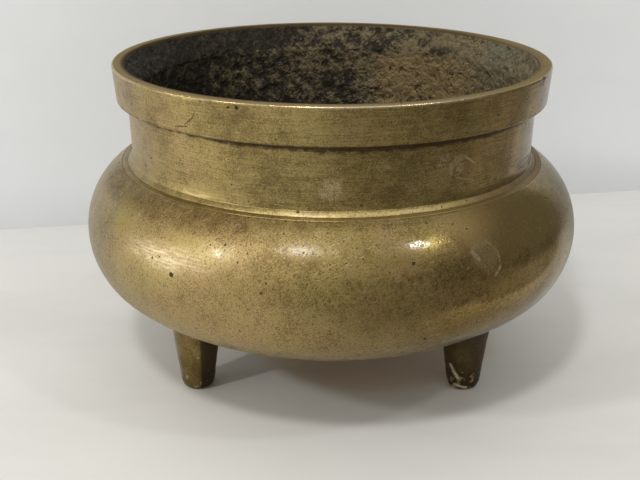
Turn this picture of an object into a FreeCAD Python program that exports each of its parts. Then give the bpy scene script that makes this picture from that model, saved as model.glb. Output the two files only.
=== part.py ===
import FreeCAD, Part
import math
import os
from FreeCAD import Vector

# Three-legged cast brass incense burner, in millimetres.
# Z is up, the soles of the legs stand on z = 0 and the vessel's axis is the Z axis.
# The front of the vessel faces -Y.

# Driving sizes of the neck
neck_radius = 77.5
neck_height = 24.3
neck_wall = 4.8
neck_taper = 0.5
flare_height = 2.6
flare_spread = 0.4
ring_slope_width = 1.3
ring_slope_drop = 1.35
ring_flat_width = 2.3
ring_flat_drop = 0.37
foot_ring_edge = 1.0
fine_line_width = 0.5
fine_line_depth = 0.25
spigot_step = 0.6
spigot_length = 3.6

# Driving sizes of the rim band
rim_overhang = 5.1
rim_draft = 1.1
rim_height = 13.2
rim_lip_width = 4.5
rim_seat_depth = 2.6
rim_throat_step = 0.8
rim_edge_round = 0.5

# Driving sizes of the bowl
shoulder_width = 14.6
flank_radius = 29.3
underside_radius = 75.0
underside_angle = 56.4
bowl_wall = 3.8
mouth_lip_depth = 4.4
floor_clearance = 24.7
edge_break = 0.25

# Driving sizes of the legs and of their fixings
leg_inset = 35.1
toe_radius = 6.4
toe_round = 2.5
leg_top_radius = 9.1
boss_drop = 0.4
tenon_radius = 4.0
washer_radius = 7.5
washer_thickness = 1.2
pad_margin = 0.5
pad_rise = 0.4
head_radius = 6.0
head_height = 2.4
head_round = 2.0
front_left_angle = 210.0
front_right_angle = 330.0
rear_angle = 90.0

# Clearance between a spigot, tenon or edge and the hole that takes it
fit_gap = 0.05

# Radii that the neck sets
waist_radius = neck_radius - neck_taper
neck_bore = neck_radius - neck_wall
ring_radius = waist_radius + flare_spread
line_radius = ring_radius + ring_slope_width
foot_radius = line_radius + ring_flat_width
spigot_radius = waist_radius - spigot_step

# Belly section: the flank arc runs into the underside arc, and both share a tangent
belly_radius = foot_radius + shoulder_width
flank_centre_r = belly_radius - flank_radius
turn = math.radians(underside_angle)
underside_shift = underside_radius - flank_radius
underside_centre_r = flank_centre_r - underside_shift * math.cos(turn)
underside_centre_z = floor_clearance + underside_radius
flank_centre_z = underside_centre_z - underside_shift * math.sin(turn)

# Levels
shoulder_z = flank_centre_z + math.sqrt(flank_radius**2 - (foot_radius - flank_centre_r)**2)
seat_z = shoulder_z - foot_ring_edge
lip_z = seat_z - mouth_lip_depth
rim_base_z = shoulder_z + neck_height
rim_seat_z = rim_base_z + rim_seat_depth
top_z = rim_base_z + rim_height

# Places of the legs round the axis, in degrees from +X
leg_circle_radius = belly_radius - leg_inset
leg_angles = {"front_left": front_left_angle, "front_right": front_right_angle, "rear": rear_angle}


def point(radius, height):
    return Vector(radius, 0, height)


def line(start, end):
    return Part.LineSegment(point(*start), point(*end)).toShape()


def arc(centre, radius, start_angle, end_angle):
    """Edge of a circle in the section plane, angles in radians from the outward direction."""
    ends = []
    for angle in (start_angle, (start_angle + end_angle) / 2, end_angle):
        ends.append(point(centre[0] + radius * math.cos(angle), centre[1] + radius * math.sin(angle)))
    return Part.Arc(*ends).toShape()


def turned(edges):
    """Solid turned about the Z axis from the closed section that the edges make."""
    section = Part.Face(Part.Wire(Part.__sortEdges__(edges)))
    return section.revolve(Vector(0, 0, 0), Vector(0, 0, 1), 360)


def rounded_outline(corners):
    """Closed section of straight runs; each corner is (radius, height, corner rounding)."""
    edges = []
    count = len(corners)
    joints = []
    for index, (radius, height, rounding) in enumerate(corners):
        here = point(radius, height)
        if rounding == 0:
            joints.append((here, here))
            continue
        before = (point(*corners[index - 1][:2]) - here).normalize()
        after = (point(*corners[(index + 1) % count][:2]) - here).normalize()
        half = before.getAngle(after) / 2
        reach = rounding / math.tan(half)
        start = here + before * reach
        end = here + after * reach
        inward = (before + after).normalize()
        middle = here + inward * (rounding / math.sin(half) - rounding)
        edges.append(Part.Arc(start, middle, end).toShape())
        joints.append((start, end))
    for index in range(count):
        start = joints[index][1]
        end = joints[(index + 1) % count][0]
        edges.append(Part.LineSegment(start, end).toShape())
    return edges


def belly_height(radius, inset):
    """Height of the bowl's outer face, or of its inner face where inset is the wall, under a radius."""
    turn_radius = flank_centre_r + (flank_radius - inset) * math.cos(turn)
    if radius <= underside_centre_r:
        return floor_clearance + inset
    if radius <= turn_radius:
        reach = radius - underside_centre_r
        return underside_centre_z - math.sqrt((underside_radius - inset)**2 - reach**2)
    reach = radius - flank_centre_r
    return flank_centre_z - math.sqrt((flank_radius - inset)**2 - reach**2)


def leg_radius(height):
    """Radius of a leg's cone, which spreads from the toe to leg_top_radius at the bowl's underside."""
    return toe_radius + (leg_top_radius - toe_radius) * height / floor_clearance


def on_leg_circle(shape, angle):
    """The shape carried from the axis to its place under or in the bowl."""
    moved = shape.copy()
    moved.translate(Vector(leg_circle_radius, 0, 0))
    moved.rotate(Vector(0, 0, 0), Vector(0, 0, 1), angle)
    return moved


# Levels of the leg joint: a flat boss under the bowl, a flat pad inside it
boss_z = belly_height(leg_circle_radius - leg_top_radius, 0) - boss_drop
boss_radius = leg_radius(boss_z)
pad_radius = washer_radius + pad_margin
pad_z = belly_height(leg_circle_radius + pad_radius, bowl_wall) + pad_rise
head_z = pad_z + washer_thickness


def make_rim_band():
    """Heavy turned band of the mouth; its step rests on the neck's top edge."""
    rim_radius = neck_radius + rim_overhang
    bore = neck_radius + fit_gap
    throat = neck_bore + rim_throat_step
    corners = [
        (rim_radius, top_z, rim_edge_round),
        (rim_radius - rim_draft, rim_base_z, rim_edge_round),
        (bore, rim_base_z, edge_break),
        (bore, rim_seat_z, 0),
        (throat, rim_seat_z, edge_break),
        (rim_radius - rim_lip_width, top_z, rim_edge_round),
    ]
    return turned(rounded_outline(corners))


def make_neck_collar():
    """Straight neck, slightly flared at its foot, with a narrow ring on the shoulder and a spigot."""
    line_z = shoulder_z + ring_flat_drop
    flare_foot = line_z + ring_slope_drop
    flare_top = flare_foot + flare_height
    flare_radius = (flare_spread**2 + flare_height**2) / (2 * flare_spread)
    flare_turn = math.asin(flare_height / flare_radius)
    flat_slope = ring_flat_drop / ring_flat_width
    line_end = (line_radius + fine_line_width, line_z - fine_line_width * flat_slope)
    line_floor = (line_radius + fine_line_width / 2, line_end[1] - fine_line_depth)
    break_z = shoulder_z + edge_break * flat_slope
    outer = [
        (neck_bore, rim_seat_z - edge_break),
        (neck_bore + edge_break, rim_seat_z),
        (neck_radius, rim_seat_z),
        (neck_radius, rim_base_z),
        (waist_radius, flare_top),
    ]
    lower = [
        (ring_radius, flare_foot),
        (line_radius, line_z),
        line_floor,
        line_end,
        (foot_radius - edge_break, break_z),
        (foot_radius, break_z - edge_break),
        (foot_radius, seat_z),
        (spigot_radius, seat_z),
        (spigot_radius, seat_z - spigot_length),
        (neck_bore, seat_z - spigot_length),
        outer[0],
    ]
    edges = [line(start, end) for start, end in zip(outer, outer[1:])]
    edges.append(arc((waist_radius + flare_radius, flare_top), flare_radius, math.pi, math.pi + flare_turn))
    edges += [line(start, end) for start, end in zip(lower, lower[1:])]
    return turned(edges)


def make_bowl():
    """Round-bellied bowl with a thick mouth, flat bosses for the legs and flat pads inside."""
    rebate_radius = foot_radius + fit_gap
    bore = spigot_radius + fit_gap
    inner_flank = flank_radius - bowl_wall
    inner_underside = underside_radius - bowl_wall
    flank = (flank_centre_r, flank_centre_z)
    underside = (underside_centre_r, underside_centre_z)
    rebate_turn = math.acos((rebate_radius - flank_centre_r) / flank_radius)
    rebate_top = flank_centre_z + flank_radius * math.sin(rebate_turn)
    lip_turn = math.asin((lip_z - flank_centre_z) / inner_flank)
    lip_outer = flank_centre_r + inner_flank * math.cos(lip_turn)
    straight_down = -math.pi / 2
    floor_top = floor_clearance + bowl_wall
    shell = turned([
        line((rebate_radius, seat_z), (rebate_radius, rebate_top)),
        arc(flank, flank_radius, rebate_turn, -turn),
        arc(underside, underside_radius, -turn, straight_down),
        line((underside_centre_r, floor_clearance), (0, floor_clearance)),
        line((0, floor_clearance), (0, floor_top)),
        line((0, floor_top), (underside_centre_r, floor_top)),
        arc(underside, inner_underside, straight_down, -turn),
        arc(flank, inner_flank, -turn, lip_turn),
        line((lip_outer, lip_z), (bore, lip_z)),
        line((bore, lip_z), (bore, seat_z)),
        line((bore, seat_z), (rebate_radius, seat_z)),
    ])
    cavity = turned([
        line((0, floor_top), (underside_centre_r, floor_top)),
        arc(underside, inner_underside, straight_down, -turn),
        arc(flank, inner_flank, -turn, lip_turn),
        line((lip_outer, lip_z), (0, lip_z)),
        line((0, lip_z), (0, floor_top)),
    ])
    boss = Part.makeCone(boss_radius, leg_radius(pad_z), pad_z - boss_z, Vector(0, 0, boss_z))
    pad_base = belly_height(leg_circle_radius - pad_radius, 0) + bowl_wall / 2
    pad = Part.makeCylinder(pad_radius, pad_z - pad_base, Vector(0, 0, pad_base))
    hole = Part.makeCylinder(tenon_radius + fit_gap, pad_z - boss_z, Vector(0, 0, boss_z))
    bowl = shell
    for angle in leg_angles.values():
        bowl = bowl.fuse(on_leg_circle(boss, angle).cut(cavity))
    for angle in leg_angles.values():
        bowl = bowl.fuse(on_leg_circle(pad, angle))
    for angle in leg_angles.values():
        bowl = bowl.cut(on_leg_circle(hole, angle))
    return bowl.removeSplitter()


def make_leg():
    """Tapered leg with a rounded toe, a tenon through the bowl and a spread rivet head."""
    return turned(rounded_outline([
        (0, 0, 0),
        (toe_radius, 0, toe_round),
        (boss_radius, boss_z, 0),
        (tenon_radius, boss_z, 0),
        (tenon_radius, head_z, 0),
        (head_radius, head_z, 0),
        (head_radius, head_z + head_height, head_round),
        (0, head_z + head_height, 0),
    ]))


def make_washer():
    """Flat washer that spreads the rivet head's load on the pad."""
    hole_radius = tenon_radius + fit_gap
    return turned(rounded_outline([
        (hole_radius, pad_z, 0),
        (washer_radius, pad_z, 0),
        (washer_radius, head_z, edge_break),
        (hole_radius, head_z, 0),
    ]))


nodes = {
    "bowl": make_bowl(),
    "neck_collar": make_neck_collar(),
    "rim_band": make_rim_band(),
}
for side, angle in leg_angles.items():
    nodes[side + "_leg"] = on_leg_circle(make_leg(), angle)
    nodes[side + "_leg_washer"] = on_leg_circle(make_washer(), angle)

os.makedirs("parts", exist_ok=True)
for name, shape in nodes.items():
    solid = shape.Solids[0]
    if not solid.isValid() or len(shape.Solids) != 1:
        raise ValueError(name + " is not one valid solid")
    solid.exportStep("parts/" + name + ".step")
    print(name, "volume", round(solid.Volume / 1000, 2), "cm3", solid.BoundBox)
print("height", round(top_z, 2), "belly diameter", round(2 * belly_radius, 2))
print("mouth bore", round(neck_bore, 2), "boss", round(boss_z, 2), "pad", round(pad_z, 2))
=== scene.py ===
# %% [markdown]
# # An aged brass incense burner
# The burner is a round-bellied brass vessel: a heavy band round the mouth, a short neck, a wide
# belly and three tapering legs. Its CAD model comes in as a fixed frame in metres. Everything that
# follows is built in that same frame, so no piece has to be fitted by eye.

# %% Load the frame
import math
import bpy
import numpy as np
from mathutils import Matrix, Vector, noise


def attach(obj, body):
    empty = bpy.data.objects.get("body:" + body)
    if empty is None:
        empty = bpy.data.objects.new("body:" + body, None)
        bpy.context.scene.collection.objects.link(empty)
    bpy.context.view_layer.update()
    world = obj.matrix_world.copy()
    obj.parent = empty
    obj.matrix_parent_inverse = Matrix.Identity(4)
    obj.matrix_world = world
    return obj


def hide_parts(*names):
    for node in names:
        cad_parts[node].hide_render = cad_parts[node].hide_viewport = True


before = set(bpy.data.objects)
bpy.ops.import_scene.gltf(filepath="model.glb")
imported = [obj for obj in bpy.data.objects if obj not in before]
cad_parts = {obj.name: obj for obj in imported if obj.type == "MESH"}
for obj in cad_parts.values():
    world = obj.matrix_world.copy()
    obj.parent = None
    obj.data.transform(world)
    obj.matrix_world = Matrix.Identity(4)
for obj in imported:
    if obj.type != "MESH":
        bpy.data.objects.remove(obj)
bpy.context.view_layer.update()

# %% [markdown]
# ## The camera
# The picture was taken from a little above the rim and quite close, so the mouth opens into a wide
# ellipse and the legs draw together. A lens and a place for it can be guessed and nudged, or solved
# from the ellipses of the rim, the neck and the belly. The numbers here come from such a solution.

# %% Camera
eye = Vector((-0.0043, -0.3807, 0.1960))
tilt_down = math.radians(21.07)
roll = 0.0020
lens = bpy.data.cameras.new("picture_camera")
lens.sensor_width = 36.0
lens.lens = 56.25
camera = bpy.data.objects.new("picture_camera", lens)
tilt = Matrix.Rotation(math.pi / 2 - tilt_down, 4, "X") @ Matrix.Rotation(roll, 4, "Z")
camera.matrix_world = Matrix.Translation(eye) @ tilt
bpy.context.scene.collection.objects.link(camera)
bpy.context.scene.camera = camera
bpy.context.scene.view_settings.view_transform = "Standard"
print("camera stands", round(eye.length, 3), "m from the burner's foot")

# %% [markdown]
# ## A lathe
# Every part of the burner is round, so each one is a section turned about an axis. A Screw modifier
# or a spun curve would turn it too. Rings of points worked out in code are chosen here, because each
# point can then be pushed in a little: real cast metal is never quite true. The section is a list of
# (radius, height) in millimetres, walked with the metal on the left hand.

# %% Bends, eased corners and joined points of a section
MM = 0.001


def bend(centre, radius, first, last, step):
    """Points of an arc, angles in radians, without its last point."""
    count = max(3, math.ceil(abs(last - first) * radius / step))
    turns = [first + (last - first) * i / count for i in range(count)]
    return [(centre[0] + radius * math.cos(a), centre[1] + radius * math.sin(a)) for a in turns]


def ease(before, corner, after, reach, parts=5):
    """A corner softened by a small curve that starts and ends at reach from it."""
    here = Vector(corner)
    start = here + (Vector(before) - here).normalized() * reach
    end = here + (Vector(after) - here).normalized() * reach
    steps = [i / parts for i in range(parts + 1)]
    return [tuple(start.lerp(here, t).lerp(here.lerp(end, t), t)) for t in steps]


def join(points, step):
    """Fills the gaps between a section's points, so that its rings lie about one step apart."""
    filled = []
    for start, end in zip(points, points[1:]):
        count = max(1, math.ceil(math.dist(start, end) / step))
        for i in range(count):
            filled.append(tuple(a + (b - a) * i / count for a, b in zip(start, end)))
    return filled + points[-1:]


print("a 1 mm corner eases through", len(ease((0, 5), (0, 0), (5, 0), 1)), "points")


# %% Faces between rings
def stitch(rings, turns, first=0, loop=False):
    """Faces between rings of points that are listed one ring after another, from the point numbered
    first. A loop also joins the last ring to the first one."""
    faces = []
    for i in range(rings if loop else rings - 1):
        low, high = first + i * turns, first + (i + 1) % rings * turns
        for j in range(turns):
            k = (j + 1) % turns
            faces.append((low + j, low + k, high + k, high + j))
    return faces


def fans(low, high, turns, tip):
    """Faces from a low and a high ring to the points that close them, numbered tip and tip + 1."""
    faces = []
    for j in range(turns):
        k = (j + 1) % turns
        faces += [(low + k, low + j, tip), (high + j, high + k, tip + 1)]
    return faces


def add_piece(name, points, faces):
    """A new piece in the scene, its points in metres."""
    mesh = bpy.data.meshes.new(name)
    mesh.from_pydata(points, [], faces)
    piece = bpy.data.objects.new(name, mesh)
    bpy.context.scene.collection.objects.link(piece)
    return piece


print("two rings of 12 points make", len(stitch(2, 12) + fans(0, 12, 12, 24)), "faces")


# %% Turning a section into a mesh
def turn(name, outside, inside, turns, ring=True):
    """Turns two joined runs of a section about Z. Faces of the inside run take the second material.
    A ring closes on itself; anything else starts and ends on the axis."""
    path = np.array(outside + inside) * MM
    outer = len(outside)
    if not ring:
        path = path[1:-1]
        outer -= 1
    swing = np.arange(turns) * 2 * math.pi / turns
    rings = np.empty((len(path), turns, 3))
    rings[..., 0] = path[:, :1] * np.cos(swing)
    rings[..., 1] = path[:, :1] * np.sin(swing)
    rings[..., 2] = path[:, 1:]
    points = [tuple(p) for p in rings.reshape(-1, 3)]
    faces = stitch(len(path), turns, loop=ring)
    kinds = [int(i // turns >= outer) for i in range(len(faces))]
    if not ring:
        faces += fans(0, (len(path) - 1) * turns, turns, len(points))
        points += [(0, 0, outside[0][1] * MM), (0, 0, inside[-1][1] * MM)]
        kinds += [0, 1] * turns
    piece = add_piece(name, points, faces)
    piece.data.polygons.foreach_set("material_index", kinds)
    piece.data.update()
    return piece


def smooth(mesh, sharpest):
    """Smooth shading, apart from edges that turn by more than the sharpest angle, in degrees."""
    mesh.polygons.foreach_set("use_smooth", [True] * len(mesh.polygons))
    mesh.set_sharp_from_angle(angle=math.radians(sharpest))
    mesh.update()


def sink(piece, depth, level=False, least=0.4):
    """Pushes each point into the metal by depth(point, normal), given and answered in millimetres.
    A level push goes only sideways, so that two stacked pieces still meet where both are pushed; it
    fades on faces whose normal leans sideways by less than the least share."""
    mesh = piece.data
    count = len(mesh.vertices)
    places = np.empty(count * 3)
    normals = np.empty(count * 3, np.float32)
    mesh.vertices.foreach_get("co", places)
    mesh.vertices.foreach_get("normal", normals)
    places = places.reshape(-1, 3)
    normals = normals.reshape(-1, 3)
    if level:
        normals[:, 2] = 0
        normals /= np.maximum(np.linalg.norm(normals, axis=1), least)[:, None]
    sunk = np.array([depth(Vector(p) / MM, n) for p, n in zip(places, normals)]) * MM
    mesh.vertices.foreach_set("co", (places - normals * sunk[:, None]).ravel())
    smooth(mesh, 50)
    reach = [round(v / MM, 2) for v in (sunk.min(), sunk.max())]
    print(piece.name, len(mesh.polygons), "faces, sunk", reach, "mm")


# %% [markdown]
# ## How cast and turned skins leave true
# A cast bowl that was scraped and rubbed by hand waves by about a tenth of a millimetre, and its
# inside keeps the lumps of the mould. Sculpting would give both; seeded noise gives them the same
# way every time. The waves only ever go into the metal, so the burner never outgrows its CAD box.

# %% Waves, lumps and nicks
def hand_waves(point):
    """Slow waves of a hand-worked skin, up to about 0.2 mm deep."""
    slow = noise.noise(point / 42.0)
    quick = noise.noise(point / 13.0 + Vector((7, 3, 1)))
    return 0.11 + 0.08 * slow + 0.02 * quick


def mould_lumps(point):
    """Rocky skin of the unworked inside, 0 to 1.5 mm deep."""
    lump = noise.fractal(point / 5.5, 0.9, 2.1, 4)
    swell = noise.noise(point / 17.0)
    return min(1.5, max(0.0, 0.55 + 0.55 * lump + 0.22 * swell))


def nick(point, place, size, depth):
    """A dent of the given size about one place, fading to nothing at its edge."""
    away = (point - place).length / size
    return depth * max(0.0, 1 - away * away) ** 2


def at(degrees, radius, height):
    """The point of the burner at an angle round its axis."""
    swing = math.radians(degrees)
    return Vector((radius * math.cos(swing), radius * math.sin(swing), height))


print("waves at the belly's front", round(hand_waves(at(270, 95.6, 61.6)), 3), "mm")

# %% [markdown]
# ## The bowl
# The belly is the burner's big cast piece. Its outside is two arcs that meet with a common tangent,
# a tight one for the flank and a wide one for the underside, and its wall is even, so the inside
# repeats them. A subdivided cage could come close, but the arcs are known, so they are walked. The
# sole was scraped down by hand, so it is sunk a little more than the flank.

# %% Section of the bowl
flank_centre, flank_radius = (66.3, 61.64), 29.3
sole_centre, sole_radius = (41.01, 99.7), 75.0
meet = math.radians(56.4)
wall = 3.8
sole_height, floor_height = 24.7, 28.5
mouth_radius, mouth_bore = 81.05, 76.45
seat_height, lip_height = 85.98, 81.58
hub = 1.0
inner_flank, inner_sole = flank_radius - wall, sole_radius - wall
shoulder = math.acos((mouth_radius - flank_centre[0]) / flank_radius)
lip_turn = math.asin((lip_height - flank_centre[1]) / inner_flank)
lip_reach = flank_centre[0] + inner_flank * math.cos(lip_turn)
sole_edge, floor_edge = (sole_centre[0], sole_height), (sole_centre[0], floor_height)

belly_skin = [(0, sole_height)] + join([(hub, sole_height), sole_edge], 2.2)[:-1]
belly_skin += bend(sole_centre, sole_radius, -math.pi / 2, -meet, 0.95)
belly_skin += bend(flank_centre, flank_radius, -meet, shoulder - 0.012, 0.8)
belly_skin += ease((81.5, 86.7), (mouth_radius, 86.93), (mouth_radius, 86.3), 0.25)
bowl_inside = [(mouth_radius, seat_height), (mouth_bore, seat_height), (mouth_bore, lip_height)]
bowl_inside += join([(77.1, lip_height), (lip_reach, lip_height)], 1.6)[:-1]
bowl_inside += bend(flank_centre, inner_flank, lip_turn, -meet, 1.3)
bowl_inside += bend(sole_centre, inner_sole, -meet, -math.pi / 2, 1.5)
bowl_inside += join([floor_edge, (hub, floor_height)], 2.4) + [(0, floor_height)]
print("bowl section", len(belly_skin), "points outside,", len(bowl_inside), "inside")

# %% Bowl
sole_scrape = 0.75
scrape_top, scrape_fade = 46, 9
seat_low, seat_reach = 81.3, 81.5
floor_top = 40


def bowl_depth(point, normal):
    """Waves outside, over a sole that was scraped down; lumps inside, and true faces at the seat."""
    reach = math.hypot(point.x, point.y)
    if point.z > seat_low and reach < seat_reach:
        return 0.0
    outward = (normal[0] * point.x + normal[1] * point.y) / max(reach, 1e-6)
    if outward < -0.05 or (normal[2] > 0.5 and point.z < floor_top):
        return mould_lumps(point)
    low = min(1.0, max(0.0, (scrape_top - point.z) / scrape_fade))
    return hand_waves(point) + sole_scrape * low * low * (3 - 2 * low)


bowl = turn("bowl_skin", belly_skin, bowl_inside, turns=400, ring=False)
sink(bowl, bowl_depth)
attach(bowl, "root")
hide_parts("bowl")

# %% [markdown]
# ## The neck
# The neck is a straight collar that flares a very little at its foot. There it turns into a narrow
# sloping ring, which faces the lamps and is the brightest line on the burner; its middle front is
# painted lighter still, as a highlight, and the rest of it a little darker. A fine line is cut
# below the slope. A bump could draw it, but cut into the section itself it catches real shadow,
# and painted shade darkens it a little more.

# %% Section of the neck
neck_radius, bore_radius = 77.5, 72.7
neck_top = 113.88
spigot_radius, spigot_foot = 76.4, 82.38
flange_radius = 81.0
flare_top = (77.0, 91.30)
flare_out, flare_drop = 0.4, 2.6
flare_radius = (flare_out ** 2 + flare_drop ** 2) / (2 * flare_out)
flare_turn = math.asin(flare_drop / flare_radius)
flare_centre = (flare_top[0] + flare_radius, flare_top[1])

neck_skin = join([(neck_radius, neck_top - 0.3), (neck_radius, 111.3), flare_top], 0.42)
neck_skin += bend(flare_centre, flare_radius, math.pi, math.pi + flare_turn, 0.35)[1:]
neck_skin += [(77.4, 88.72), (77.52, 88.64), (77.8, 88.38), (78.1, 88.07), (78.4, 87.74)]
neck_skin += [(78.62, 87.46), (78.7, 87.32), (78.8, 87.22), (78.95, 87.20), (79.05, 87.27)]
neck_skin += join([(79.2, 87.27), (80.75, 87.02)], 0.4)
neck_skin += [(80.92, 86.94), (flange_radius, 86.8), (flange_radius, 86.0)]
neck_inside = [(spigot_radius, seat_height), (spigot_radius, spigot_foot), (73.0, spigot_foot)]
neck_inside += join([(bore_radius, 82.6), (bore_radius, neck_top)], 0.55)
print("neck section", len(neck_skin), "points outside,", len(neck_inside), "inside")

# %% Neck collar
bore_reach = 73.5
lumps_start, lumps_full = 82.8, 2
free_low, free_high = 86.9, 112.5


def neck_depth(point, normal):
    """Waves outside, lumps in the bore, and true faces at both seats."""
    reach = math.hypot(point.x, point.y)
    if reach < bore_reach:
        return mould_lumps(point) * min(1.0, max(0.0, (point.z - lumps_start) / lumps_full))
    if point.z > free_high or point.z < free_low:
        return 0.0
    return hand_waves(point) * 0.7


neck = turn("neck_skin", neck_skin[::-1], neck_inside[::-1], turns=640)
sink(neck, neck_depth, level=True)
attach(neck, "root")
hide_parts("neck_collar")

# %% [markdown]
# ## The rim band
# The band is heavier than the neck and overhangs it, with a flat lip worn bright along its front
# edge. Use has left nicks along the lip and a shallow chip at the right. They are dents sunk into
# the mesh at their places, so that the edge itself breaks in the picture.

# %% Section of the band
rim_top = 124.47
band_base = 111.28
step_radius = 77.55
band_corners = [(78.1, rim_top), (82.6, rim_top), (81.5, band_base), (step_radius, band_base)]
band_skin = ease((75.0, 117.0), band_corners[0], band_corners[1], 0.5)
band_skin += ease(band_corners[0], band_corners[1], band_corners[2], 0.75, 6)
band_skin += ease(band_corners[1], band_corners[2], band_corners[3], 0.6)
band_skin = join(band_skin, 0.42)
band_inside = [(step_radius, band_base), (step_radius, neck_top), (bore_radius, neck_top)]
band_inside = join(band_inside, 0.8) + join([(72.75, 114.2), (73.4, 116.0), (77.6, 123.4)], 0.5)
print("band section", len(band_skin), "points outside,", len(band_inside), "inside")

# %% Rim band
rim_nicks = [(at(degrees, radius, height), size, depth) for degrees, radius, height, size, depth in (
    (331.6, 82.8, 123.2, 2.8, 0.15), (234.5, 82.5, 124.6, 1.5, 0.5), (231.8, 82.6, 124.5, 1.0, 0.4),
    (236.6, 82.6, 124.5, 1.1, 0.35), (257.0, 82.6, 124.3, 0.9, 0.25), (299.0, 82.6, 124.5, 1.0, 0.3),
    (30.0, 82.6, 124.4, 1.6, 0.5), (112.0, 82.6, 124.4, 1.2, 0.4), (160.0, 82.6, 124.4, 1.8, 0.4),
    (248.4, 82.6, 122.7, 1.0, 0.35))]
step_top, step_inner, step_outer = 114.0, 73.5, 78.0


def band_depth(point, normal):
    """Waves outside and on the lip, nicks along the edge, lumps inside."""
    reach = math.hypot(point.x, point.y)
    if point.z < step_top and step_inner < reach < step_outer:
        return 0.0
    outward = (normal[0] * point.x + normal[1] * point.y) / reach
    if outward < -0.3 and reach < step_outer:
        return mould_lumps(point) * min(1.0, (rim_top - point.z) / 3)
    return 0.55 * hand_waves(point) + sum(nick(point, *dent) for dent in rim_nicks)


band = turn("rim_band_skin", band_skin[::-1], band_inside[::-1], turns=720)
sink(band, band_depth, level=True)
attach(band, "root")
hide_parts("rim_band")

# %% [markdown]
# ## The legs
# Each leg is a short cone with a blunt toe. Its top is cut to the curve of the belly. A Boolean would
# cut it, but leaves thin slivers of faces. So the last ring of the leg isn't level: every point of it
# is lifted to the height of the underside above it. The part of the leg inside the bowl is a hammered
# rivet head on a washer.

# %% Leg up to the belly
leg_circle = 60.5
leg_turns, leg_rows = 96, 44
swings = [2 * math.pi * j / leg_turns for j in range(leg_turns)]
toe_radius, toe_height, toe_tip = 6.6, 2.9, 0.02
leg_taper = 3.4
leg_bite = 0.45
toe_section = [(1.5, 0.0), (3.6, 0.0)] + bend((3.9, 2.5), 2.5, -math.pi / 2, 0.1, 0.5)[1:]
leg_rings = [(radius, height, 0.0) for radius, height in toe_section + [(toe_radius, toe_height)]]
climbs = [i / leg_rows for i in range(1, leg_rows + 1)]
leg_rings += [(toe_radius + leg_taper * t, toe_height, t) for t in climbs]


def leg_top(reach):
    """Height of a leg's end, just inside the scraped sole, at a reach from the burner's axis."""
    sole = sole_height
    if reach > sole_centre[0]:
        sole = sole_centre[1] - math.sqrt(sole_radius ** 2 - (reach - sole_centre[0]) ** 2)
    return sole + sole_scrape + leg_bite


def leg_shell(centre, seed):
    """The rings of a leg from its toe to the belly, and the two points that close it."""
    shell = []
    for radius, height, climb in leg_rings:
        for swing in swings:
            out = Vector((math.cos(swing), math.sin(swing), 0))
            place = centre + Vector((radius * math.cos(swing), radius * math.sin(swing), height))
            place.z += (leg_top(math.hypot(place.x, place.y)) - height) * climb
            wave = 0.16 + 0.14 * noise.noise(place / 6.0 + seed)
            wave += 0.05 * noise.noise(place / 2.0 + seed)
            shell.append(place - out * (wave * min(1.0, place.z / 1.5) * (1 - climb ** 6)))
    return shell, [centre + Vector((0, 0, height)) for height in (toe_tip, leg_top(leg_circle))]


print("leg of", len(leg_rings), "rings, top at", round(leg_top(leg_circle), 2), "mm")

# %% Legs with their rivet heads
leg_places = {"front_left_leg": 210.0, "front_right_leg": 330.0, "rear_leg": 90.0}
washer_top = 35.5
head_height = 2.5
head_tips = 35.65, 37.85
head_section = [(6.0, 0.15), (6.0, 0.5)] + bend((4.0, 0.5), 2.0, 0.0, math.pi / 2, 0.4)
head_section += [(1.5, head_height)]


def head_shell(centre, seed):
    """The rings of a rivet head with its hammer marks, and the two points that close it."""
    shell = []
    for radius, height in head_section:
        for swing in swings:
            way = (radius * math.cos(swing), radius * math.sin(swing), washer_top + height)
            place = centre + Vector(way)
            place.z -= 0.12 * (1 + noise.noise(place / 1.6 + seed)) * height / head_height
            shell.append(place)
    return shell, [centre + Vector((0, 0, height)) for height in head_tips]


def shape_leg(name, degrees, seed):
    """A leg up to the belly, and its rivet head above the washer inside, as one mesh."""
    centre = at(degrees, leg_circle, 0)
    points, faces = [], []
    for shell, tips in (leg_shell(centre, seed), head_shell(centre, seed)):
        low, tip = len(points), len(points) + len(shell)
        faces += stitch(len(shell) // leg_turns, leg_turns, low)
        faces += fans(low, tip - leg_turns, leg_turns, tip)
        points += [tuple(place * MM) for place in shell + tips]
    piece = add_piece(name + "_skin", points, faces)
    smooth(piece.data, 60)
    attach(piece, "root")
    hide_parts(name)
    return piece


legs = []
for name, degrees in leg_places.items():
    legs.append(shape_leg(name, degrees, Vector((len(legs) * 5.3, 2, 9))))
print("legs", [leg.name for leg in legs])

# %% [markdown]
# ## A short way to write shaders
# A finish is a small sum: so much bare brass, so much brown film, so much dirt in the pits. Written
# node by node that sum gets long, so one class wraps a socket and lets Python's operators add the
# Math nodes. Every other node comes from one method.

# %% Values that can be reckoned with
class Value:
    """A socket that can be reckoned with: each operator adds a Math node."""

    def __init__(self, tree, socket):
        self.tree = tree
        self.socket = socket

    def reckon(self, operation, first, second):
        return self.tree.add("Math", {"operation": operation}, {0: first, 1: second})

    def __add__(self, other):
        return self.reckon("ADD", self, other)

    def __sub__(self, other):
        return self.reckon("SUBTRACT", self, other)

    def __rsub__(self, other):
        return self.reckon("SUBTRACT", other, self)

    def __mul__(self, other):
        return self.reckon("MULTIPLY", self, other)

    def __truediv__(self, other):
        return self.reckon("DIVIDE", self, other)

    def __rtruediv__(self, other):
        return self.reckon("DIVIDE", other, self)

    def __pow__(self, other):
        return self.reckon("POWER", self, other)

    def __or__(self, other):
        return self.reckon("MAXIMUM", self, other)

    def __and__(self, other):
        return self.reckon("MINIMUM", self, other)

    __radd__ = __add__
    __rmul__ = __mul__


print("a value takes", "+ - * / **", "and picks the larger with |, the smaller with &")


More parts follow.
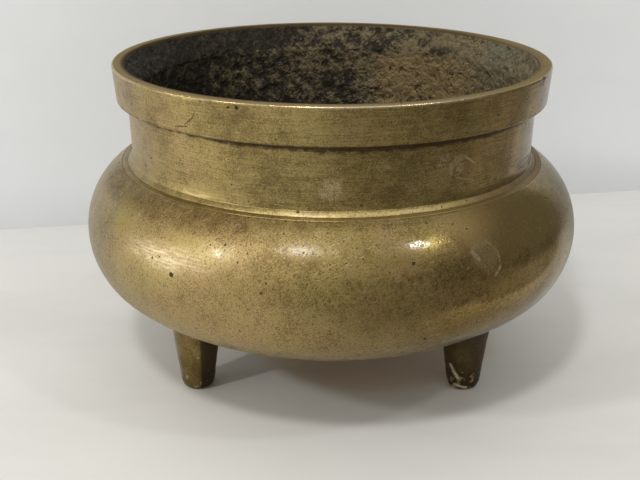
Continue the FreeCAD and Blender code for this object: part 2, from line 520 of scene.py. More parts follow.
# %% Node trees
class Nodes:
    """The node tree of a finish, of the table and wall, or of the world."""

    def __init__(self, owner):
        owner.use_nodes = True
        self.tree = owner.node_tree
        self.tree.nodes.clear()

    def add(self, kind, settings=None, inputs=None, output=0):
        """Adds a node: its settings first, then values or links, and answers with its outputs."""
        node = self.tree.nodes.new("ShaderNode" + kind)
        for key, value in (settings or {}).items():
            setattr(node, key, value)
        for key, value in (inputs or {}).items():
            if isinstance(value, Value):
                self.tree.links.new(value.socket, node.inputs[key])
            else:
                node.inputs[key].default_value = value
        if isinstance(output, tuple):
            return [Value(self, node.outputs[name]) for name in output]
        if node.outputs:
            return Value(self, node.outputs[output])

    def vector(self, operation, inputs, output=0):
        """A Vector Math node."""
        return self.add("VectorMath", {"operation": operation}, inputs, output)

    def between(self, value, low, high, first=0.0, last=1.0):
        """A soft step: first below low, last above high."""
        ends = {"Value": value, "From Min": low, "From Max": high, "To Min": first, "To Max": last}
        return self.add("MapRange", {"interpolation_type": "SMOOTHSTEP"}, ends)

    def fade(self, value, low, high):
        """A soft step down: 1 below low, 0 above high."""
        return self.between(value, low, high, 1.0, 0.0)

    def within(self, value, rise, full, fall, gone):
        """A soft belt: it rises to 1 at full, and falls from there to 0 at gone."""
        return self.between(value, rise, full) * self.fade(value, fall, gone)

    def mix(self, mask, first, second):
        """A colour between two colours."""
        return self.add("Mix", {"data_type": "RGBA"}, {0: mask, 6: first, 7: second}, 2)

    def cloud(self, vector, size, detail=3.0, rough=0.55, seed=0.0):
        """Noise with blobs of about the given size in millimetres; the seed moves it elsewhere."""
        if seed:
            vector = self.vector("ADD", {0: vector, 1: (seed, seed * 0.7, seed * 1.3)})
        grain = {"Vector": vector, "Scale": 1 / (size * MM), "Detail": detail, "Roughness": rough}
        return self.add("TexNoise", None, grain)

    def near(self, vector, place, size, soft):
        """1 within size of a place in millimetres, 0 at soft beyond it."""
        away = self.vector("DISTANCE", {0: vector, 1: tuple(place * MM)}, "Value")
        return self.fade(away, size * MM, (size + soft) * MM)


print("ways to add nodes", [name for name in vars(Nodes) if not name.startswith("_")])

# %% [markdown]
# ## What all the brass shares
# Old brass is not one yellow. Handled metal is pale gold, the film of age is olive, and where nobody
# rubs it turns brown. Tiny casting pits hold black dirt, and fine hairs of scratches cross the skin.
# Each of those is a mask from noise or cells in the object's own space, so the finish stays on the
# metal from every side.

# %% Places on the brass
def polar(tree):
    """The object's own place, and the same as radius, angle and height in metres and radians."""
    place = tree.add("TexCoord", None, None, "Object")
    x, y, z = tree.add("SeparateXYZ", None, {0: place}, ("X", "Y", "Z"))
    radius = (x * x + y * y) ** 0.5
    angle = tree.add("Math", {"operation": "ARCTAN2"}, {0: y, 1: x})
    return place, radius, angle, z


def unsteady(tree, vector, size, reach):
    """The same place shaken by noise, so that what is drawn on it gets ragged edges."""
    shaking = {"Vector": vector, "Scale": 1 / (size * MM), "Detail": 3.0}
    shake = tree.add("TexNoise", None, shaking, "Color")
    pull = tree.vector("SUBTRACT", {0: shake, 1: (0.5, 0.5, 0.5)})
    moved = tree.vector("SCALE", {0: pull, "Scale": reach * 2 * MM})
    return tree.vector("ADD", {0: vector, 1: moved})


def oval(tree, angle, z, middle, half, inner, weight=1.0, outer=1.1):
    """A soft spot round the middle (angle, height): full up to the inner share of its half width and
    half height, and gone at the outer share."""
    across, up = (angle - middle[0]) / half[0], (z - middle[1]) / half[1]
    return tree.between((across * across + up * up) ** 0.5, inner, outer, weight, 0.0)


def stroke(tree, vector, start, end, width):
    """A line from one place to another, all in millimetres, as wide as a scratch or a crack."""
    first, way = start * MM, (end - start) * MM
    lead = tree.vector("SUBTRACT", {0: vector, 1: tuple(first)})
    along = tree.vector("DOT_PRODUCT", {0: lead, 1: tuple(way)}, "Value") / way.length_squared
    foot = tree.vector("SCALE", {0: tuple(way), "Scale": (along | 0.0) & 1.0})
    away = tree.vector("DISTANCE", {0: lead, 1: foot}, "Value")
    return tree.fade(away, width * 0.4 * MM, width * MM)


print("places", [helper.__name__ for helper in (polar, unsteady, oval, stroke)])


# %% Pits, scratches and colours
def pits(tree, vector, spacing, widest, share):
    """Ragged pits in a share of the cells, of random radius up to the widest, all in millimetres."""
    cells = {"Vector": vector, "Scale": 1 / (spacing * MM)}
    distance, colour = tree.add("TexVoronoi", None, cells, ("Distance", "Color"))
    chance = tree.add("SeparateColor", None, {0: colour}, "Red")
    radius = ((chance - (1 - share)) / share | 0.0) * widest
    return tree.fade(distance * spacing - radius, -0.07, 0.05)


def hairs(tree, vector, axis, swing, width):
    """Fine scratches: noise drawn out along one way."""
    way = {"Vector": vector, "Axis": axis, "Angle": swing}
    turned = tree.add("VectorRotate", {"rotation_type": "AXIS_ANGLE"}, way)
    drawn = tree.add("Mapping", None, {"Vector": turned, "Scale": (1.0, 0.07, 0.5)})
    return tree.cloud(drawn, width, 2.0, 0.5)


GOLD = (0.412, 0.312, 0.112, 1)
OLIVE = (0.160, 0.111, 0.024, 1)
BROWN = (0.080, 0.047, 0.012, 1)
# A dark colour for dirt, which also paints shade.
DIRT_AND_SHADE = (0.032, 0.019, 0.008, 1)
PALE = (0.74, 0.61, 0.40, 1)
# White for scrapes, and for painted highlights.
WHITE = (0.92, 0.90, 0.88, 1)
# A saturated yellow that paints a glow.
GLOW_YELLOW = (0.36, 0.28, 0.05, 1)
TAN = (0.20, 0.148, 0.068, 1)
ROSY = (1.03, 0.955, 1.12)
print("brass runs from", GOLD[:3], "to", BROWN[:3])


# %% Aged brass
def brass(name, wear):
    """Aged brass. What wear answers says where it is gold, rosy, brown, dirty, pale or tinted, how
    thick the specks lie, and where it is matt, dull, rough, smooth or cut into. Where wear makes it
    gold, dark or tinted, some of that is painted light and painted shade."""
    material = bpy.data.materials.new(name)
    tree = Nodes(material)
    place, radius, angle, z = polar(tree)
    ragged = unsteady(tree, place, 0.9, 0.30)
    curly = unsteady(tree, place, 2.4, 1.0)
    mark = wear(tree, place, ragged, radius, angle, z)
    broad = tree.cloud(place, 36, 4.0, 0.6)
    mottle = tree.cloud(place, 7.0, 6.0, 0.68, 3.1)
    grain = tree.cloud(place, 1.6, 4.0, 0.70, 4.3)
    fine = tree.cloud(place, 0.5, 2.0, 0.6, 1.7)
    uneven = 1 - mark["smooth"] * 0.85

    spread = (mottle - 0.5) * 1.4 + (grain - 0.5) * 1.8 + (fine - 0.5) * 3.0
    tone = (broad - 0.5) * 1.1 + spread * (0.4 + uneven * 0.6) + mark["gold"]
    colour = tree.mix(tree.between(tone, -0.65, 0.65), OLIVE, GOLD)
    rosy = tree.vector("MULTIPLY", {0: colour, 1: ROSY})
    blush = tree.between(tree.cloud(place, 20, 3.0, 0.6, 8.2) + mark["rose"], 0.48, 0.74)
    colour = tree.mix(blush, colour, rosy)
    age = (0.5 - mottle) * 1.2 + (grain - 0.5) * 1.3 + (0.5 - broad) * 0.6 + mark["brown"]
    film = tree.between(age, -0.05, 0.65)
    colour = tree.mix(film * 0.8, colour, BROWN)

    hair = hairs(tree, curly, (0.3, 0.8, 0.5), 2.2, 0.34)
    light_hair = tree.between(hair, 0.61, 0.70)
    dark_hair = tree.fade(hairs(tree, curly, (0.8, -0.2, 0.5), 0.9, 0.34), 0.29, 0.37)
    cross_hair = tree.fade(hairs(tree, curly, (0.1, 0.6, -0.8), 2.9, 0.30), 0.28, 0.35)
    rubbed = tree.between(grain + fine * 0.6, 0.66, 0.95) | tree.between(hair, 0.50, 0.62) * 0.9
    pale = mark["pale"] * rubbed
    colour = tree.mix((pale | light_hair * 0.25) & 1.0, colour, PALE)
    for spot, tint in mark["tints"]:
        colour = tree.mix(spot, colour, tint)

    dust = fine + (mottle - 0.5) * 0.5 + (grain - 0.5) * 0.5 + mark["specks"]
    dots = tree.between(dust, 0.62, 0.74)
    thick = tree.between(mottle + mark["specks"] * 3, 0.33, 0.53)
    pepper = pits(tree, ragged, spacing=1.05, widest=0.38, share=0.8) * thick
    holes = pits(tree, ragged, spacing=3.0, widest=0.46, share=0.6)
    holes = holes | pits(tree, ragged, spacing=11.0, widest=0.75, share=0.4)
    specks = (dots * 0.6) | (pepper * 0.55) | (holes * 0.85) | ((dark_hair | cross_hair) * 0.5)
    # Dark specks in the pits, and the painted shade that some finishes pass in, are laid on here.
    dirt = (specks | mark["dirt"]) & 1.0
    colour = tree.mix(dirt * 0.93, colour, DIRT_AND_SHADE)

    cloudy = ((grain - 0.5) * 0.3 + (mottle - 0.5) * 0.25) * uneven
    rough = 0.44 + film * 0.08 + dirt * 0.15 + cloudy + mark["rough"]
    metal = (0.95 - film * 0.2 - dirt * 0.6 - pale * 0.25 - mark["matt"]) | 0.0
    coat = (0.58 - dirt * 0.55 - film * 0.30 - mark["dull"]) | 0.0
    skin = (fine - 0.5) * 0.035 + (grain - 0.5) * 0.05 - dots * 0.012 - light_hair * 0.01
    relief = mark["relief"] + skin * uneven - holes * 0.10
    bump = tree.add("Bump", None, {"Strength": 1.0, "Distance": MM, "Height": relief})
    shader = tree.add("BsdfPrincipled", None, {
        "Base Color": colour, "Roughness": rough, "Metallic": metal, "Normal": bump,
        "Specular IOR Level": 0.2, "Coat Weight": coat, "Coat Roughness": 0.30, "Coat IOR": 1.5})
    tree.add("OutputMaterial", None, {"Surface": shader})
    print(name, len(tree.tree.nodes), "nodes")
    return material


# %% [markdown]
# ## Cast brass of the belly
# The belly is the most handled part. It is pale gold at the left, partly rubbed metal and partly
# painted light where the window falls, darker and thickly speckled low in the front, with a pale
# smudge where fingers took hold at the right. Its shoulder carries painted reflections: lighter
# at the right, darker at the left and under the panel, with a yellow glow and the lamps' white
# spots painted in, and painted shade darkens it low at the right. A few scratches, cracks and
# dark casting pits are drawn at their own places. A painted picture could hold them too, but
# masks drawn in the metal's own space need no unwrapping.

# %% Belly finish
def belly_marks(tree, place, ragged):
    """Small marks of the belly: the smudge of a hand, light scratches, dark cracks and pits."""
    loose = unsteady(tree, place, 6.0, 2.6)
    hold = tree.near(loose, at(302.6, 91, 73.4), 4.2, 3.4)
    smudge = hold * 0.3 | stroke(tree, ragged, at(299.3, 91.8, 76.1), at(300.6, 93.0, 73.6), 1.1)
    thumb = [at(303.5, 90.5, 78.2), at(305.8, 92.6, 74.5)]
    thumb += [at(305.8, 94.4, 69.8), at(304.2, 95.0, 67.4)]
    for start, end, weight in zip(thumb, thumb[1:], (0.5, 0.7, 1.0)):
        smudge = smudge | stroke(tree, ragged, start, end, 0.7) * weight
    smudge = smudge | stroke(tree, ragged, at(297.0, 94.0, 71.3), at(298.0, 93.6, 71.9), 0.4)
    scratch = stroke(tree, place, at(248.6, 92.4, 74.2), at(251.0, 93.6, 69.8), 0.22)
    scratch = scratch | stroke(tree, place, at(256.0, 94.2, 66.8), at(257.2, 93.4, 70.0), 0.2)
    crack = stroke(tree, ragged, at(273.6, 88.2, 80.8), at(273.7, 92.6, 73.8), 0.16) * 0.5
    crack = crack | stroke(tree, place, at(301.5, 92.7, 74.3), at(304.7, 93.1, 73.3), 0.22) * 0.7
    hole = tree.near(ragged, at(236.0, 95.0, 67.3), 0.75, 0.25)
    hole = hole | tree.near(ragged, at(286.0, 92.0, 75.4), 0.45, 0.25)
    hole = hole | tree.near(ragged, at(289.0, 92.5, 48.4), 0.5, 0.25)
    return hold, smudge, scratch, crack, hole


def belly_wear(tree, place, ragged, radius, angle, z):
    """Where the belly is rubbed, brown, speckled or scratched, and where light and shade are painted
    on it.
    """
    hold, smudge, scratch, crack, hole = belly_marks(tree, place, ragged)
    low_front = tree.near(place, at(284, 92, 56), 8, 34)
    right_side = tree.near(place, at(312, 92, 66), 22, 30)
    # Painted light: the left of the belly is painted paler and rosier, where the window's light
    # falls.
    left_painted_glow = tree.near(place, at(242, 92, 67), 14, 34)
    # Pale streaks on the left: rubbed metal, painted paler still as the window's highlight.
    worn_left_highlight = oval(tree, angle, z, (-2.21, 0.0722), (0.24, 0.0048), 0.2, outer=1.25)
    drawn = tree.add("CombineXYZ", None, {0: angle * 0.012, 1: 0.0, 2: z})
    streak = worn_left_highlight * tree.between(tree.cloud(drawn, 0.8, 4.0, 0.65), 0.44, 0.62)
    # Painted highlights: the lamps' spots on the belly are painted white, with a fainter streak under
    # the panel.
    painted_highlights = oval(tree, angle, z, (-1.262, 0.0803), (0.060, 0.0014), 0.0)
    painted_highlights = painted_highlights | oval(tree, angle, z, (-1.70, 0.0796), (0.10, 0.0013), 0.0, 0.25)
    painted_highlights = painted_highlights | tree.near(place, at(246.0, 91.3, 76.7), 0.1, 1.9)
    painted_highlights = painted_highlights * tree.between(tree.cloud(ragged, 0.9, 4.0, 0.7), 0.40, 0.58)
    # Painted shade: a darker, browner band high on the left shoulder.
    high_left_shade = tree.between(z, 0.0790, 0.0840) * tree.within(angle, -3.1, -2.8, -2.0, -1.75)
    # Painted reflection: a lighter band high on the right of the belly.
    high_right_light = tree.between(z, 0.0690, 0.0790) * tree.within(angle, -1.25, -1.0, -0.60, -0.25)
    # Painted reflection: a yellow glow high on the left of the belly.
    painted_yellow_glow = tree.near(place, at(216.5, 90.8, 77.5), 1.5, 8.0)
    # Painted shade: a darker belt where the panel's highlight falls, which dims it.
    belt = tree.within(z, 0.073, 0.078, 0.081, 0.085) * tree.within(angle, -2.05, -1.80, -1.1, -0.9)
    low = tree.fade(z, 0.045, 0.066)
    under = tree.fade(z, 0.028, 0.050)
    seam = tree.between(z, 0.0867, 0.0870)
    # In gold, the low right of the belly is darkened as painted shade.
    return {
        "gold": (left_painted_glow * 0.32 - low_front * 0.14 - right_side * 0.02 + hold * 0.35 - belt * 0.28
                 - high_left_shade * 0.4 + high_right_light * 0.95 - low * right_side * 0.55),
        "rose": left_painted_glow * 0.12 + low_front * 0.10 + high_left_shade * 0.15 + right_side * 0.2,
        "brown": low_front * 0.10 + under * 0.3 - 0.05 + high_left_shade * 0.2,
        "dirt": seam * 0.1 + hole + crack,
        "pale": (smudge * 0.5 + worn_left_highlight * 0.3 + scratch) & 1.0,
        "tints": [(painted_yellow_glow * 0.6, GLOW_YELLOW), (streak * 0.7, PALE), (smudge * 0.35, PALE),
                  (painted_highlights * 0.6, WHITE)],
        "specks": low_front * 0.10 - left_painted_glow * 0.02 - right_side * 0.05,
        "matt": 0.0,
        "dull": low * 0.2 + under * 0.2 + right_side * 0.5 + high_left_shade * 0.25,
        "rough": under * 0.1 + 0.04 - right_side * 0.37 - painted_highlights * 0.10,
        "smooth": right_side * 0.6,
        "relief": hole * -0.2 - scratch * 0.02}


belly_brass = brass("cast_brass", belly_wear)

# %% [markdown]
# ## Turned brass of the neck and the band
# These two were finished on a lathe. Fine lines run round them, close together just above the foot.
# The corner under the band, where a cloth can't reach, is darkened: partly dirt, partly painted
# shade under the overhang, widest at the right. Painted shade also darkens the band's lower edge
# and the right limb of both pieces. The band's lower left has a few hairline cracks, its upper edge
# is worn bright and painted paler still along the front as a highlight, and its flat lip is a matt
# tan. A band low on the neck's left, the left side, and the ring and flange at the right are
# painted lighter, as painted light. A brushed look could come from an anisotropic shader; noise
# drawn out round the axis shows single lines.

# %% Marks of the neck and the band
def turned_marks(tree, place, ragged):
    """Small marks of the neck and the band: smudges, scratches, cracks, pits and the rim's chip."""
    patch = unsteady(tree, place, 5.0, 2.4)
    smudge = tree.near(patch, at(302.2, 77.3, 101.6), 2.6, 2.4)
    smudge = smudge | tree.near(patch, at(297.5, 77.3, 102.8), 1.2, 2.0)
    smudge = tree.near(patch, at(269.2, 77.3, 95.9), 2.2, 2.4) * 0.75 | smudge * 0.6
    scratch = stroke(tree, ragged, at(304.6, 77.4, 103.3), at(307.4, 77.4, 100.6), 0.45)
    scratch = scratch | stroke(tree, ragged, at(301.9, 77.3, 96.6), at(307.7, 77.3, 94.6), 0.5) * 0.4
    crack = stroke(tree, ragged, at(233.0, 81.9, 113.6), at(236.6, 82.0, 117.4), 0.38)
    crack = crack | stroke(tree, ragged, at(236.6, 82.0, 117.4), at(237.4, 82.3, 120.0), 0.3)
    crack = crack | stroke(tree, ragged, at(230.6, 81.8, 113.2), at(234.6, 81.8, 114.2), 0.38)
    hole = tree.near(ragged, at(248.4, 82.4, 122.7), 0.55, 0.3)
    hole = hole | tree.near(ragged, at(246.4, 82.4, 122.5), 0.35, 0.3)
    chip = stroke(tree, ragged, at(329.6, 82.5, 122.4), at(333.0, 82.6, 124.0), 1.3)
    return smudge, scratch, crack, hole, chip


def lathe_lines(tree, place, radius, z):
    """Noise drawn out round the axis: its fine streaks, and the lines cut by the lathe."""
    x, y = tree.add("SeparateXYZ", None, {0: place}, ("X", "Y"))
    rings = tree.add("CombineXYZ", None, {0: x * 0.04, 1: y * 0.04, 2: z + radius})
    streak = tree.cloud(rings, 0.42, 3.0, 0.6)
    coarse = tree.cloud(rings, 1.5, 3.0, 0.6, 4.0)
    return streak, tree.fade(streak, 0.36, 0.46) * tree.between(coarse, 0.40, 0.58)


print("marks", [helper.__name__ for helper in (turned_marks, lathe_lines)])


# %% Turned finish
def turned_wear(tree, place, ragged, radius, angle, z):
    """Where the neck and the band are rubbed, dirty, matt or scratched, and where light and shade
    are painted on them.
    """
    smudge, scratch, crack, hole, chip = turned_marks(tree, place, ragged)
    streak, lines = lathe_lines(tree, place, radius, z)
    close = tree.within(z, 0.0880, 0.0890, 0.0925, 0.0960)
    loose_z = tree.add("SeparateXYZ", None, {0: unsteady(tree, place, 3.0, 1.4)}, "Z")
    on_neck = tree.fade(radius, 0.0783, 0.0790)
    # Partly dirt, partly painted shade: the corner under the band's overhang is darkened, most at the
    # right.
    right_way = tree.within(angle, -2.3, -1.5, 2.2, 3.0)
    corner = tree.between(loose_z + right_way * 0.0010, 0.1089, 0.1103) * on_neck
    corner = corner * tree.fade(z, 0.1113, 0.1120)
    # Painted shade along the band's lower edge, where it turns under.
    low_edge = tree.fade(loose_z, 0.1112, 0.1123) * (1 - on_neck) * tree.between(z, 0.105, 0.106)
    foot = tree.fade(z, 0.0886, 0.0889)
    # Painted shade in the fine groove below the ring.
    groove = tree.within(radius, 0.07862, 0.07872, 0.07898, 0.07908) * foot
    ring = tree.between(radius, 0.0774, 0.0776) * foot
    flat = tree.between(radius, 0.0788, 0.0790) * foot
    # The band's top edge is worn bright, and along the front it is painted paler still as a
    # highlight.
    edge = tree.between(z, 0.12345, 0.1242) * tree.between(radius, 0.0812, 0.0820)
    lip = tree.between(z, 0.1238, 0.1242) * tree.fade(radius, 0.0818, 0.0822)
    inner = tree.between(z, 0.1225, 0.1235) * tree.fade(radius, 0.0786, 0.0800)
    front = tree.within(angle, -1.8, -1.55, -1.0, -0.85)
    right_side = tree.within(angle, -1.25, -0.85, 0.2, 1.2)
    # Painted light: the left of the neck and band is painted lighter and rosier.
    left_side_light = tree.within(angle, -3.1, -2.8, -2.6, -2.0)
    # The front middle, where the sloping ring is painted lighter and paler as a highlight.
    lit_front = tree.within(angle, -2.2, -1.75, -1.1, -0.8)
    # Painted shade: the right limb of the neck and the band is darkened.
    right_limb_shade = tree.within(angle, -0.75, -0.35, 0.2, 1.2)
    # Painted light: the ring and the flange are painted lighter at the right.
    right_foot_light = (ring | flat) * right_side
    # Painted highlight: a lighter, glossier band low on the neck's left, where the window is
    # reflected.
    glow = oval(tree, angle, z, (-2.16, 0.0915), (0.26, 0.0030), 0.0, outer=1.2)
    glow = glow * tree.between(z, 0.0885, 0.0890)
    return {
        "gold": (ring * (lit_front * 0.5 - 0.25) + flat * 0.1 + edge * 0.55 - corner * 0.3 - lip * 0.3
                 + (streak - 0.5) * 1.3 + left_side_light * 0.12 + glow * 0.4 + right_foot_light * 0.8),
        "rose": left_side_light * 0.08 + right_side * 0.25,
        "brown": corner * 0.3 - ring * lit_front * 0.3 - edge * 0.3 + lip * 0.25,
        "dirt": (corner * 0.75 + low_edge * 0.5 + groove * 0.12 + inner * (0.85 - right_side * 0.6)
                 + lines * 0.15 * (1 + close) + hole + crack * 0.8 + chip * 0.6
                 + right_limb_shade * 0.45 * (1 - lip)) & 1.0,
        "pale": (smudge * 0.5 + edge * 0.2 + ring * lit_front * 0.1) & 1.0,
        "tints": [(edge * front * 0.6, PALE), (scratch * 0.7, PALE), (lip * 0.85, TAN)],
        "specks": corner * 0.06 - 0.05,
        "matt": lip * 0.9,
        "dull": (lip * 0.5 + flat * 0.2 + right_side * 0.35 + left_side_light * 0.2 + right_limb_shade * 0.25
                 - right_foot_light * 0.5),
        "rough": (edge * -0.18 - right_side * 0.30 * (1 - lip) - glow * 0.12 + right_foot_light * 0.3
                  + lip * 0.35),
        "smooth": 0.5 + right_side * 0.4,
        "relief": lines * -0.012 * (1 + close * 2) - hole * 0.15 - crack * 0.06}


turned_brass = brass("turned_brass", turned_wear)

# %% [markdown]
# ## Dark brass of the legs
# The legs were never polished. They carry a brown-black film, rubbed through at the toes to pale,
# scraped metal. Their tops under the belly are darker, partly film and partly painted shade, and
# painted shade darkens the right front leg and the right side of the left front leg. The same
# brass serves, with its film turned up and its grain turned down.

# %% Leg finish
def leg_wear(tree, place, ragged, radius, angle, z):
    """Where the legs are scraped bare, where their film is blackest, and where shade is painted on
    them.
    """
    toe = tree.fade(z, 0.003, 0.014)
    # Painted shade: the right front leg is painted darker and browner.
    right_leg_shade = tree.near(place, at(330, 60.5, 14), 16, 6)
    rubbing = tree.cloud(ragged, 2.6, 4.0, 0.6, 2.2) + toe * 0.10 + toe * right_leg_shade * 0.09
    scrape = tree.between(rubbing, 0.68, 0.74)
    worn = tree.cloud(place, 9.0, 4.0, 0.6, 6.0)
    slip = stroke(tree, ragged, at(323.3, 58.3, 11.2), at(323.6, 61.5, 5.9), 1.0)
    slip = slip | stroke(tree, ragged, at(323.9, 60.5, 2.4), at(325.4, 64.8, 1.6), 0.8)
    bare = (scrape * 0.8 | slip) & 1.0
    # The tops of the legs under the belly are darker: partly film, partly painted shade.
    top = tree.between(z, 0.016, 0.030) + tree.between(z, 0.0340, 0.0345) * 2
    x, y = tree.add("SeparateXYZ", None, {0: ragged}, ("X", "Y"))
    # Painted shade: the left front leg's right side, which faces the middle, is darkened.
    painted_dark_side = tree.between((x + 0.0524) * 0.99 + (y + 0.03025) * 0.136, 0.0006, 0.0018)
    painted_dark_side = painted_dark_side * tree.fade(x, -0.03, -0.02)
    # This film also carries the painted shade on the legs' sides and tops.
    film = toe * 0.3 + top * 0.25 + 0.12 + right_leg_shade * 0.65 + painted_dark_side * 0.8
    return {
        "gold": bare * 0.5 + worn * 0.3 - 0.35,
        "rose": 0.1,
        "brown": 0.30 - bare * 0.6 - worn * 0.3 + right_leg_shade * 0.4,
        "dirt": film * (1 - bare) & 1.0,
        "pale": bare * 0.6,
        "tints": [(slip * 0.5, WHITE)],
        "specks": toe * 0.04 - 0.12,
        "matt": 0.0,
        "dull": 0.25,
        "rough": worn * 0.1 - 0.26,
        "smooth": 0.95,
        "relief": bare * -0.08 + worn * 0.1}


leg_brass = brass("leg_brass", leg_wear)

# %% [markdown]
# ## The sooted inside
# Incense and ash have blackened the inside. The mould's rocky skin is still there under the soot; on
# the right a brown patch is worn through, a grey film lies under the rim, and a little blue-green
# has grown at the far right. Soot lies thickest in the hollows, so one noise gives both the lumps
# and the places where they are rubbed. The lumps are also painted lighter where they face up and
# darker where they face down, as painted light from above.

# %% Soot and ash
SOOT = (0.016, 0.013, 0.008, 1)
THIN_SOOT = (0.066, 0.048, 0.026, 1)
ASH = (0.165, 0.130, 0.068, 1)
RUST = (0.285, 0.202, 0.096, 1)
GREEN = (0.100, 0.120, 0.092, 1)


def sooted():
    """Lumpy brass under soot and ash."""
    material = bpy.data.materials.new("sooted_brass")
    tree = Nodes(material)
    place = tree.add("TexCoord", None, None, "Object")
    x, z = tree.add("SeparateXYZ", None, {0: place}, ("X", "Z"))
    lumps = tree.cloud(place, 3.8, 6.0, 0.66)
    crumbs = tree.cloud(place, 1.3, 4.0, 0.70, 2.0)
    broad = tree.cloud(place, 24, 4.0, 0.6, 5.0)
    top = (lumps - 0.5) * 1.3 + (crumbs - 0.5) * 0.9
    clear = tree.between(x, -0.058, 0.020)
    under_lip = tree.between(z, 0.1135, 0.1160) * (1 - clear)
    far_right = tree.near(place, at(22, 75, 119), 12, 18)
    colour = tree.mix(tree.between(top, -0.1, 0.35), SOOT, THIN_SOOT)
    rubbing = top + (broad - 0.5) * 1.2 + clear * 0.30 + far_right * 0.35 - under_lip * 0.35 - 0.12
    colour = tree.mix(tree.between(rubbing, -0.1, 0.35), colour, ASH)
    patch = tree.near(unsteady(tree, place, 12, 7), at(54, 73, 99), 20, 10)
    worn = patch * tree.between(top, -0.35, 0.0) * tree.fade(z, 0.1120, 0.1145)
    colour = tree.mix(worn * 0.85, colour, RUST)
    growth = tree.near(place, at(22, 76, 121), 7, 12) * tree.between(top, -0.2, 0.3)
    colour = tree.mix(growth * 0.8, colour, GREEN)
    hollow = tree.fade(top, -0.26, -0.06) * (1 - far_right * 0.6)
    colour = tree.mix(hollow * 0.75, colour, DIRT_AND_SHADE)
    # Painted light from above: each lump is painted lighter where it faces up, darker where it faces
    # down.
    above = tree.vector("ADD", {0: place, 1: (0, 0, 0.6 * MM)})
    painted_top_light = tree.between(lumps - tree.cloud(above, 3.8, 6.0, 0.66), -0.12, 0.12)
    shade = 0.55 + painted_top_light * 0.9 + patch * (0.5 - painted_top_light) * 0.5
    colour = tree.vector("SCALE", {0: colour, "Scale": shade})
    rough = 0.48 + (crumbs - 0.5) * 0.3
    relief = lumps * 2.2 + crumbs * 0.8
    bump = tree.add("Bump", None, {"Strength": 1.0, "Distance": MM, "Height": relief})
    shader = tree.add("BsdfPrincipled", None, {
        "Base Color": colour, "Roughness": rough, "Metallic": worn * 0.4 + 0.15, "Normal": bump,
        "Specular IOR Level": 0.3})
    tree.add("OutputMaterial", None, {"Surface": shader})
    print("sooted_brass", len(tree.tree.nodes), "nodes")
    return material


soot_brass = sooted()

# %% [markdown]
# ## Finishes on their pieces
# Bowl, neck and band are bright outside and black inside, so each of them has two materials, and the
# faces already know which side they are on. Two separate meshes would do as well, but would leave a
# seam. The washers lie in the soot and keep the mesh that came with the frame.

# %% Give every piece its finish
for piece, finish in ((bowl, belly_brass), (neck, turned_brass), (band, turned_brass)):
    piece.data.materials.append(finish)
    piece.data.materials.append(soot_brass)
for leg in legs:
    leg.data.materials.append(leg_brass)
for name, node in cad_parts.items():
    if name.endswith("_washer"):
        node.data.materials.clear()
        node.data.materials.append(soot_brass)
print("finished", [piece.name for piece in (bowl, neck, band, *legs)], "and the washers")

# %% [markdown]
# ## Table and wall
# The burner stands on a pale table close to a pale wall. Both are plain planes that only show their
# front, so that a camera behind or below them still sees the burner. Their paint has painted light
# and shade: a warm shadow under the burner, paler to the right, and darker at the wall's foot.
# Metal also needs something dark to reflect, so two dark cards lie on the table at the right. Only
# glossy rays see them. In a studio the same is done with black cards, just outside the picture.

# %% Planes and paint
def plane(name, corners):
    """A flat sheet of the stage, with one face."""
    sheet = add_piece(name, corners, [tuple(range(len(corners)))])
    return sheet


def matt_paint(name, colour, other, size, painted_warm_shadow=0.0, painted_light_right=0.0, foot=0.0):
    """Plain paint with faint smears. It can paint a warm, darker shadow on the table under the
    burner, where the brass throws light down, paint itself paler to the right as painted light, and
    paint itself darker low down as painted shade."""
    material = bpy.data.materials.new(name)
    tree = Nodes(material)
    place = tree.add("TexCoord", None, None, "Object")
    x, z = tree.add("SeparateXYZ", None, {0: place}, ("X", "Z"))
    drawn = tree.add("Mapping", None, {"Vector": place, "Scale": (0.35, 1.0, 1.0)})
    smear = tree.cloud(drawn, size, 5.0, 0.6)
    shade = tree.mix(tree.between(smear, 0.4, 0.68), colour, other)
    # Painted shadow: a warm, darker patch on the table under the burner, with the brass's warm light
    # in it.
    under = tree.near(place, Vector((18, 15, 0)), 44, 14)
    shade = tree.mix(under * painted_warm_shadow, shade, (0.65, 0.52, 0.41, 1))
    # Painted light and shade: the paint is paler to the right, and darker low on the wall by the
    # table.
    level = (1 + tree.between(x, 0.02, 0.30) * painted_light_right) * (1 - tree.between(z, 0.0, 0.03, foot, 0.0))
    shade = tree.vector("SCALE", {0: shade, "Scale": level})
    front = tree.add("BsdfPrincipled", None, {"Base Color": shade, "Roughness": 0.55})
    behind = tree.add("BsdfTransparent")
    facing = tree.add("NewGeometry", None, None, "Backfacing")
    both = tree.add("MixShader", None, {0: facing, 1: front, 2: behind})
    tree.add("OutputMaterial", None, {"Surface": both})
    print(name, len(tree.tree.nodes), "nodes")
    return material


# %% Table, wall and cards
wall_y, wall_slant = 0.178, 0.194
wall_left, wall_right, wall_height = -0.50, 0.32, 0.26
left_y, right_y = wall_y + wall_left * wall_slant, wall_y + wall_right * wall_slant
table = plane("table", [(-3, -3, 0), (3, -3, 0), (3, 3, 0), (-3, 3, 0)])
table.data.materials.append(matt_paint(
    "table_paint", (0.765, 0.757, 0.735, 1), (0.715, 0.707, 0.685, 1), 60, painted_warm_shadow=0.9, painted_light_right=0.16))
backdrop = plane("backdrop", [(wall_left, left_y, 0), (wall_right, right_y, 0),
                              (wall_right, right_y, wall_height), (wall_left, left_y, wall_height)])
backdrop.data.materials.append(matt_paint(
    "wall_paint", (0.79, 0.805, 0.83, 1), (0.75, 0.765, 0.79, 1), 120, painted_light_right=0.14, foot=0.10))

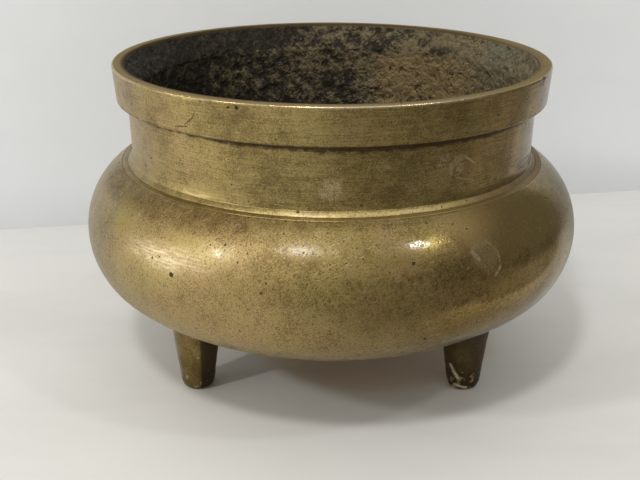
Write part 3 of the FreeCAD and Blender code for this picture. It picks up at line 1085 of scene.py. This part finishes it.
dark_corners = [(0.0, -0.140), (-0.08, -1.4), (-0.3, -2.9), (2.9, -2.9),
                (2.9, 2.5), (0.47, 2.5), (0.47, -0.08), (0.22, -0.12)]
dim_corners = [(0.13, -0.16), (0.6, -0.16), (0.6, 0.25), (0.36, 0.14), (0.22, 0.02), (0.14, -0.09)]
dark_greys = (0.24, 0.23, 0.215, 1), (0.28, 0.27, 0.255, 1)
dim_greys = (0.40, 0.385, 0.355, 1), (0.44, 0.425, 0.395, 1)
for name, corners, height, greys in (("dark_card", dark_corners, 0.0005, dark_greys),
                                     ("dim_card", dim_corners, 0.0003, dim_greys)):
    card = plane(name, [(x, y, height) for x, y in corners])
    card.data.materials.append(matt_paint(name + "_paint", *greys, 90))
    for rays in ("camera", "diffuse", "transmission", "shadow"):
        setattr(card, "visible_" + rays, False)
print("table set, a backdrop", wall_y, "m behind the burner's axis, and two cards")

# %% [markdown]
# ## Light
# The light is one soft panel high in front, two small lamps that make the sharp spots on the belly,
# where white highlights are painted in as well, and a low window at the left. The world is a dim,
# warm room: brighter overhead and at the left, darker at the right. A picture of a room could light
# it too, but four lamps are easier to move.

# %% Lamps
def lamp(name, azimuth, elevation, size, power, tint=(1, 1, 1), away=1.0):
    """A round soft lamp, seen from the belly's front at an azimuth from -Y towards +X in degrees."""
    swing, climb = math.radians(azimuth), math.radians(elevation)
    aim = Vector((0, -0.06, 0.07))
    flat = math.cos(climb)
    way = Vector((math.sin(swing) * flat, -math.cos(swing) * flat, math.sin(climb)))
    light = bpy.data.lights.new(name, "AREA")
    light.shape = "DISK"
    light.size = size
    light.energy = power
    light.color = tint
    holder = bpy.data.objects.new(name, light)
    holder.location = aim + way * away
    holder.rotation_mode = "QUATERNION"
    holder.rotation_quaternion = (-way).to_track_quat("-Z", "Y")
    bpy.context.scene.collection.objects.link(holder)
    print(name, "of", power, "W at", [round(v, 2) for v in holder.location])


lamp("panel", azimuth=-18, elevation=54, size=0.12, power=3.2)
lamp("left_lamp", azimuth=-57, elevation=32, size=0.08, power=1.9)
lamp("right_lamp", azimuth=54, elevation=50, size=0.08, power=1.0)
lamp("window", azimuth=-80, elevation=6, size=0.32, power=1.3, tint=(1.0, 0.98, 0.95))

# %% Room
room = bpy.data.worlds.new("room")
bpy.context.scene.world = room
tree = Nodes(room)
ray = tree.add("TexCoord", None, None, "Generated")
x, y, z = tree.add("SeparateXYZ", None, {0: ray}, ("X", "Y", "Z"))
left = tree.fade(x, -0.8, 0.2)
right = tree.between(x, 0.15, 0.75)
ceiling = tree.between(z * 0.92 - y * 0.35 + x * 0.1, 0.5, 1.0)
level = 0.31 + left * (1 - ceiling) * 0.28 + ceiling * 0.46 - right * (1 - ceiling) * 0.16
green, blue = level * (0.96 + ceiling * 0.03), level * (0.82 + ceiling * 0.14)
warm = tree.add("CombineColor", None, {0: level, 1: green, 2: blue})
glow = tree.add("Background", None, {"Color": warm, "Strength": 1.0})
tree.add("OutputWorld", None, {"Surface": glow})
print("room of", len(room.node_tree.nodes), "nodes")

# %% [markdown]
# The finished burner has to stay inside the box of its CAD model.
